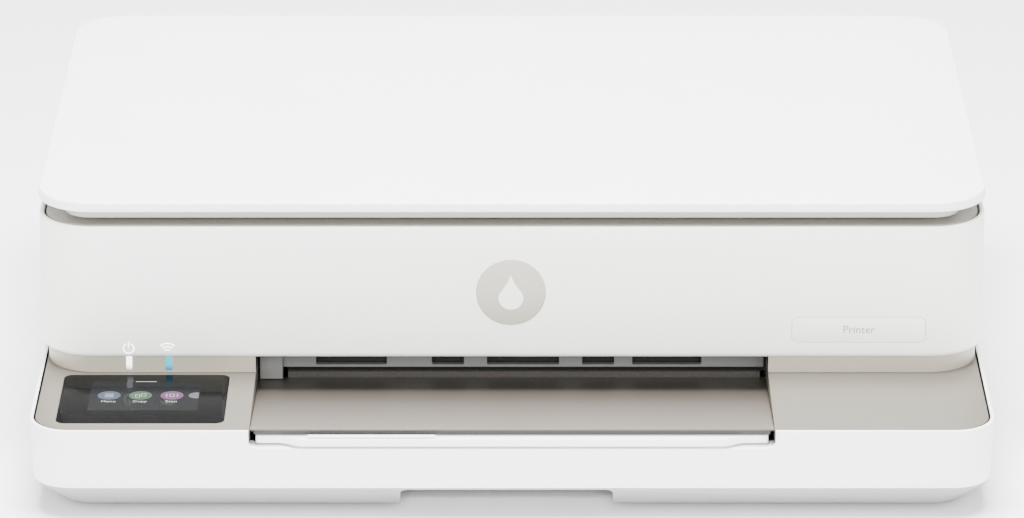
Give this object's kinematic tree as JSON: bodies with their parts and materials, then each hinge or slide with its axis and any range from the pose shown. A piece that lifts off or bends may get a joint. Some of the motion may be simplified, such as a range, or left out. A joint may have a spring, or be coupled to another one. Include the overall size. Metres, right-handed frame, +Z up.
{
  "type": "inkjet printer",
  "caption": "Low desktop inkjet printer with a flatbed scanner lid, front output bay, full-width paper tray, touch screen and opening print engine.",
  "frame": {"origin": "bottom centre of the whole object, on the surface it stands on", "axes": "+X to the right seen from the front, +Y from the front to the back, +Z up"},
  "size_m": [0.4326, 0.361, 0.127],
  "materials": {
    "badge": "pearl champagne",
    "bezel": "matt",
    "board": "solder mask",
    "cover": "fine matt grain",
    "dark": "matt",
    "deck": "fine matt grain, pearl beige",
    "gear": "natural nylon",
    "glass": "clear",
    "gloss": "high gloss",
    "grey": "matt",
    "light_cyan": "frosted",
    "light_white": "frosted",
    "panel": "fine matt grain",
    "rubber": "matt",
    "steel": "satin"
  },
  "bodies": {
    "body": {"base_pan": "cover", "rear_cover": "cover", "power_inlet": "dark", "data_port": "steel", "foot_front_left": "rubber", "foot_front_right": "rubber", "foot_rear_left": "rubber", "foot_rear_right": "rubber", "deck_cover": "deck", "touch_glass": "gloss", "display_module": "dark", "power_light": "light_white", "wireless_light": "light_cyan", "output_tray": "bezel", "exit_frame": "grey", "engine_chassis": "dark", "feed_motor": "steel", "main_board": "board", "power_supply": "grey", "service_station": "dark", "carriage_rail": "steel", "encoder_strip": "glass", "drive_belt": "rubber", "carriage_motor": "steel"},
    "scanner_unit": {"upper_housing": "panel", "badge": "badge", "nameplate": "panel", "scanner_bezel": "bezel", "scan_glass": "glass", "scanner_bed": "dark", "scan_rod": "steel"},
    "lid": {"lid_shell": "cover", "lid_liner": "grey", "lid_pad": "light_white"},
    "input_tray": {"tray_front": "cover", "paper_bin": "dark"},
    "left_guide": {"width_guide_left": "dark"},
    "right_guide": {"width_guide_right": "dark"},
    "guide_wheel": {"guide_pinion": "dark"},
    "end_guide": {"length_guide": "dark"},
    "extender": {"output_extender": "cover"},
    "stop_flap": {"paper_stop": "cover"},
    "carriage": {"print_carriage": "dark", "cartridge_black": "dark", "cartridge_colour": "dark"},
    "black_latch": {"latch_black": "grey"},
    "colour_latch": {"latch_colour": "grey"},
    "motor_wheel": {"motor_pulley": "gear"},
    "idler_wheel": {"idler_pulley": "gear"},
    "feed_shaft": {"feed_roller": "rubber", "feed_gear": "gear"},
    "middle_gear": {"idler_gear": "gear"},
    "exit_shaft": {"exit_roller": "rubber", "exit_gear": "gear"},
    "pickup_shaft": {"pickup_roller": "rubber", "pickup_gear": "gear"},
    "motor_pinion": {"motor_gear": "gear"},
    "scan_head": {"scan_bar": "dark"},
    "power_key": {"power_button": "grey"},
    "wireless_key": {"wireless_button": "grey"}
  },
  "joints": [
    {"name": "scanner_lift", "type": "hinge", "parent": "body", "child": "scanner_unit", "pos_m": [0, 0.1681, 0.06], "axis": [-1, 0, 0], "range_deg": [0, 25]},
    {"name": "lid_lift", "type": "hinge", "parent": "scanner_unit", "child": "lid", "pos_m": [0, 0.1686, 0.1198], "axis": [-1, 0, 0], "range_deg": [0, 85]},
    {"name": "tray_slide", "type": "slide", "parent": "body", "child": "input_tray", "axis": [0, -1, 0], "range_m": [0, 0.16]},
    {"name": "width_guide_slide", "type": "slide", "parent": "input_tray", "child": "left_guide", "axis": [1, 0, 0], "range_m": [0, 0.055]},
    {"name": "right_guide_slide", "type": "slide", "parent": "input_tray", "child": "right_guide", "axis": [-1, 0, 0], "range_m": [0, 0.055]},
    {"name": "guide_wheel_turn", "type": "hinge", "parent": "input_tray", "child": "guide_wheel", "pos_m": [0, -0.01853, 0.0095], "axis": [0, 0, 1], "range_deg": [-430, 0]},
    {"name": "length_guide_slide", "type": "slide", "parent": "input_tray", "child": "end_guide", "axis": [0, 1, 0], "range_m": [0, 0.1]},
    {"name": "extender_slide", "type": "slide", "parent": "body", "child": "extender", "axis": [0, -0.9931, 0.1171], "range_m": [0, 0.062]},
    {"name": "stop_flip", "type": "hinge", "parent": "extender", "child": "stop_flap", "pos_m": [0, -0.1796, 0.03992], "axis": [1, 0, 0], "range_deg": [0, 90]},
    {"name": "carriage_slide", "type": "slide", "parent": "body", "child": "carriage", "axis": [-1, 0, 0], "range_m": [0, 0.2193]},
    {"name": "black_latch_lift", "type": "hinge", "parent": "carriage", "child": "black_latch", "pos_m": [0.13411, 0.034, 0.0732], "axis": [-1, 0, 0], "range_deg": [0, 28]},
    {"name": "colour_latch_lift", "type": "hinge", "parent": "carriage", "child": "colour_latch", "pos_m": [0.17411, 0.034, 0.0732], "axis": [-1, 0, 0], "range_deg": [0, 28]},
    {"name": "motor_pulley_turn", "type": "hinge", "parent": "body", "child": "motor_wheel", "pos_m": [-0.17661, 0.0426, 0.061], "axis": [0, 1, 0], "range_deg": [-1841, 10]},
    {"name": "idler_pulley_turn", "type": "hinge", "parent": "body", "child": "idler_wheel", "pos_m": [0.20311, 0.0426, 0.061], "axis": [0, 1, 0], "range_deg": [-1841, 10]},
    {"name": "feed_turn", "type": "hinge", "parent": "body", "child": "feed_shaft", "pos_m": [0, 0.045, 0.041], "axis": [1, 0, 0], "continuous": true},
    {"name": "middle_gear_turn", "type": "hinge", "parent": "body", "child": "middle_gear", "pos_m": [0, -0.001, 0.041], "axis": [1, 0, 0], "continuous": true},
    {"name": "exit_turn", "type": "hinge", "parent": "body", "child": "exit_shaft", "pos_m": [0, -0.047, 0.041], "axis": [1, 0, 0], "continuous": true},
    {"name": "pickup_turn", "type": "hinge", "parent": "body", "child": "pickup_shaft", "pos_m": [0, 0.08419, 0.033], "axis": [1, 0, 0], "continuous": true},
    {"name": "motor_gear_turn", "type": "hinge", "parent": "body", "child": "motor_pinion", "pos_m": [0, -0.075, 0.041], "axis": [1, 0, 0], "continuous": true},
    {"name": "scan_slide", "type": "slide", "parent": "scanner_unit", "child": "scan_head", "axis": [1, 0, 0], "range_m": [0, 0.298]},
    {"name": "power_press", "type": "slide", "parent": "body", "child": "power_key", "axis": [0, -1, 0], "range_m": [0, 0.001], "stiffness_N_per_m": 300},
    {"name": "wireless_press", "type": "slide", "parent": "body", "child": "wireless_key", "axis": [0, -1, 0], "range_m": [0, 0.001], "stiffness_N_per_m": 300}
  ],
  "couplings": [
    {"joint": "right_guide_slide", "follows": "width_guide_slide", "ratio": 1},
    {"joint": "guide_wheel_turn", "follows": "width_guide_slide", "rad_per_m": -133.33},
    {"joint": "motor_pulley_turn", "follows": "carriage_slide", "rad_per_m": -144.93},
    {"joint": "idler_pulley_turn", "follows": "carriage_slide", "rad_per_m": -144.93},
    {"joint": "middle_gear_turn", "follows": "feed_turn", "ratio": -0.76923},
    {"joint": "exit_turn", "follows": "feed_turn", "ratio": 1},
    {"joint": "pickup_turn", "follows": "feed_turn", "ratio": -1},
    {"joint": "motor_gear_turn", "follows": "feed_turn", "ratio": -2.5}
  ]
}
